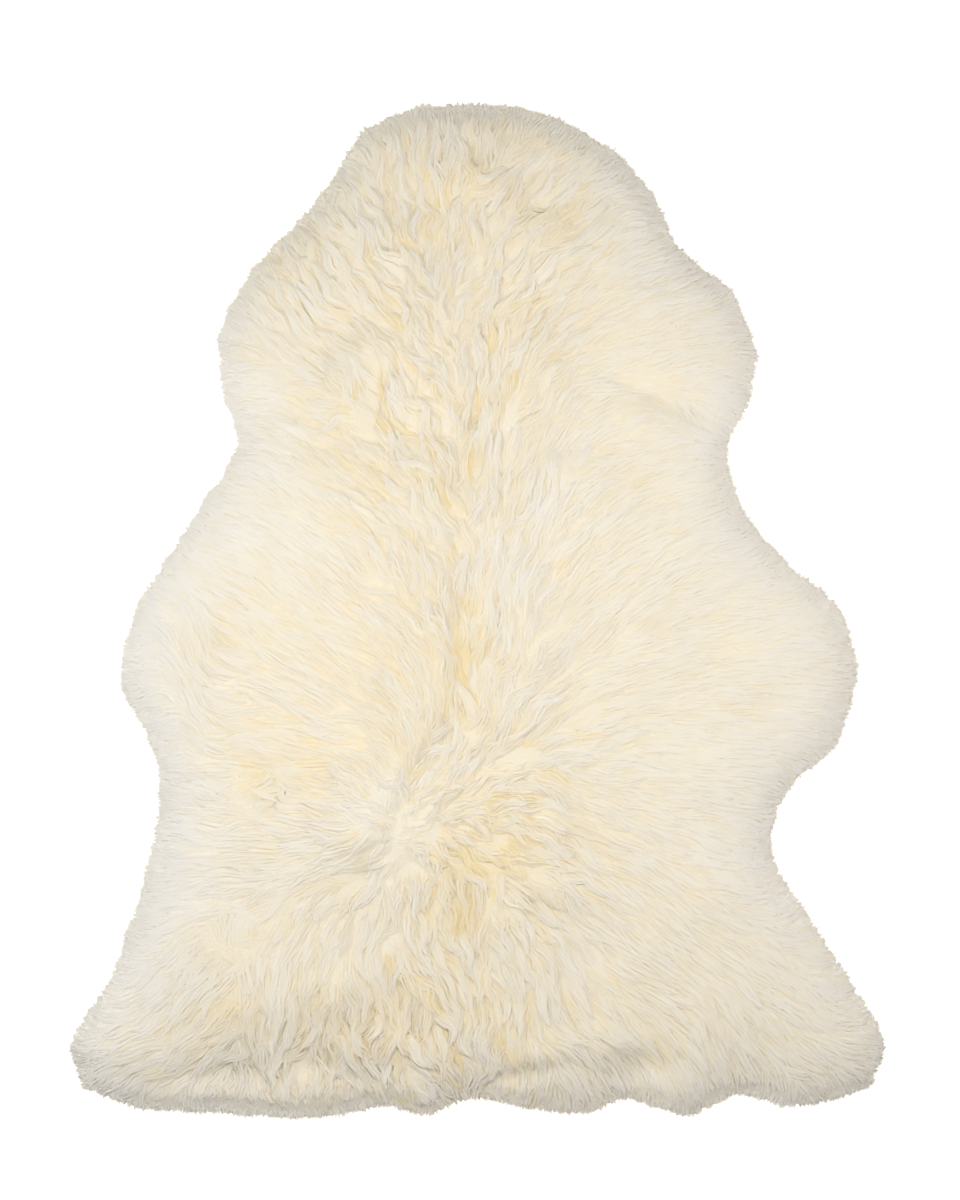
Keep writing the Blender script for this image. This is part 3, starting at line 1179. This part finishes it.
class SHEEPSKIN_OT_stage(Operator):
    """Sets out the pale floor, the soft studio light and the camera straight above"""
    bl_idname = "sheepskin.set_stage"
    bl_label = "Set the Stage"

    def execute(self, context):
        scene, stage = context.scene, context.scene.sheepskin_stage
        self.lay_floor(stage)
        self.light(scene, stage)
        self.place_camera(scene)
        scene.view_settings.view_transform = "Standard"
        scene.cycles.diffuse_bounces = 10
        return {"FINISHED"}

    def lay_floor(self, stage):
        """One flat square that glows a little."""
        mesh = bpy.data.meshes.new("floor")
        corners = [(x * FLOOR_HALF, y * FLOOR_HALF, -FLOOR_DROP)
                   for x, y in ((-1, -1), (1, -1), (1, 1), (-1, 1))]
        mesh.from_pydata(corners, [], [(0, 1, 2, 3)])
        floor = linked("floor", mesh)
        material, tree, shader = new_material("pale_floor")
        set_inputs(tree, shader, {
            "Base Color": (*stage.floor_color, 1.0), "Roughness": 0.9,
            "Emission Color": (1.0, 1.0, 1.0, 1.0), "Emission Strength": stage.floor_glow,
        })
        mesh.materials.append(material)

    def light(self, scene, stage):
        """A white room, a round light overhead and four softboxes round the pelt."""
        scene.world = bpy.data.worlds.new("white_room")
        scene.world.use_nodes = True
        tree = scene.world.node_tree
        set_inputs(tree, tree.nodes["Background"], {
            "Color": (1.0, 0.975, 0.955, 1.0), "Strength": stage.world_light})
        add_light("overhead", OVERHEAD_AT, stage.overhead_light, OVERHEAD_SIZE, shape="DISK")
        for side, (place, color) in SOFTBOXES.items():
            power = getattr(stage, side + "_light")
            add_light(side + "_softbox", place, power, SOFTBOX_SIZE, color=color)

    def place_camera(self, scene):
        """Straight above, with the lens that gives the photograph's pixel its size."""
        lens = bpy.data.cameras.new("camera")
        camera = linked("camera", lens)
        camera.location = (AIM_RIGHT * PIXEL, AIM_UP * PIXEL, CAMERA_HEIGHT)
        lens.sensor_width = SENSOR_WIDTH
        lens.lens = SENSOR_WIDTH * (CAMERA_HEIGHT - PIXEL_PLANE) / (IMAGE_HEIGHT * PIXEL)
        lens.clip_end = 50.0
        scene.camera = camera


class SHEEPSKIN_PT_panel(Panel):
    """Lists the settings and the steps that lay the rug"""
    bl_label = "Sheepskin Rug"
    bl_idname = "SHEEPSKIN_PT_panel"
    bl_space_type = "VIEW_3D"
    bl_region_type = "UI"
    bl_category = "Sheepskin"

    def draw(self, context):
        scene = context.scene
        for group in (scene.sheepskin_wool, scene.sheepskin_hide, scene.sheepskin_stage):
            box = self.layout.box()
            for name in group.__annotations__:
                box.prop(group, name)
        for step in STEPS:
            self.layout.operator(step.bl_idname)


STEPS = (SHEEPSKIN_OT_hide, SHEEPSKIN_OT_fleece, SHEEPSKIN_OT_locks, SHEEPSKIN_OT_skirt,
         SHEEPSKIN_OT_stage)
SETTINGS = {"sheepskin_wool": WoolSettings, "sheepskin_hide": HideSettings,
            "sheepskin_stage": StageSettings}


def register():
    for group in SETTINGS.values():
        bpy.utils.register_class(group)
    for name, group in SETTINGS.items():
        setattr(bpy.types.Scene, name, PointerProperty(type=group))
    for step in (*STEPS, SHEEPSKIN_PT_panel):
        bpy.utils.register_class(step)


def unregister():
    for step in (SHEEPSKIN_PT_panel, *reversed(STEPS)):
        bpy.utils.unregister_class(step)
    for name, group in SETTINGS.items():
        delattr(bpy.types.Scene, name)
        bpy.utils.unregister_class(group)


def main():
    register()
    bpy.ops.sheepskin.lay_hide()
    bpy.ops.sheepskin.fill_fleece()
    bpy.ops.sheepskin.comb_locks()
    bpy.ops.sheepskin.hang_skirt()
    bpy.ops.sheepskin.set_stage()


if __name__ == "__main__":
    main()
